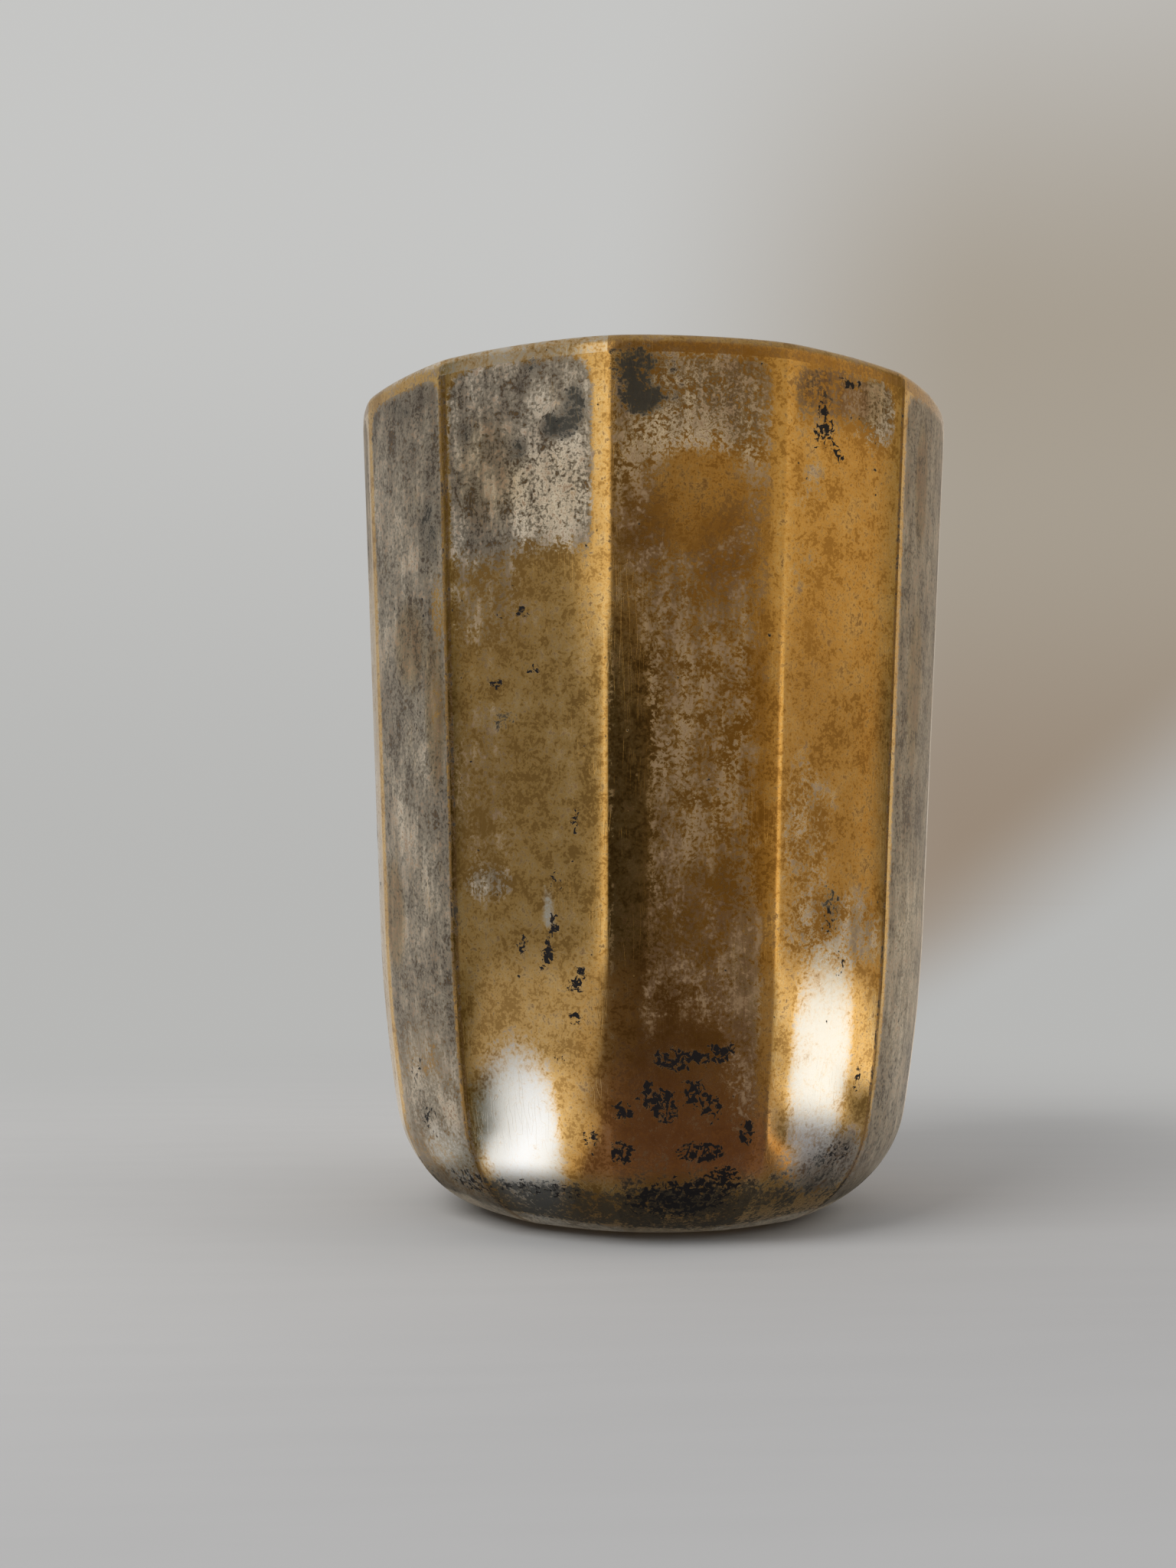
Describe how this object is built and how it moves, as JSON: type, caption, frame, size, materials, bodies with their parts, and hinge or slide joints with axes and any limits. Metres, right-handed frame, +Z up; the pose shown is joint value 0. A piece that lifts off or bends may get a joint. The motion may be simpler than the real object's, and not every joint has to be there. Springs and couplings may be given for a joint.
{
  "type": "tumbler",
  "caption": "Double-walled metal tumbler: bowed facets run down the wall and round the foot, with a turned rim ring, a plain round liner and a flat recessed base plate.",
  "frame": {"origin": "centre of the standing face, on the table", "axes": "+Z up along the tumbler's axis, with the middle of one facet facing -Y"},
  "size_m": [0.0742, 0.0742, 0.1],
  "materials": {
    "worn_gilt": "worn gilding over a silver-grey plate, tarnished brown and black in patches",
    "liner_gilt": "satin gilding with fine turning marks and water stains",
    "rim_gilt": "polished gilding, rubbed pale on the edge",
    "base_silver": "gilding rubbed through to a scratched silver-grey plate",
    "solder": "dull as-cast hard solder"
  },
  "bodies": {
    "root": {"faceted_shell": "worn_gilt", "inner_liner": "liner_gilt", "rim_ring": "rim_gilt", "base_plate": "base_silver", "rim_solder_bead": "solder", "base_solder_bead": "solder"}
  },
  "joints": []
}
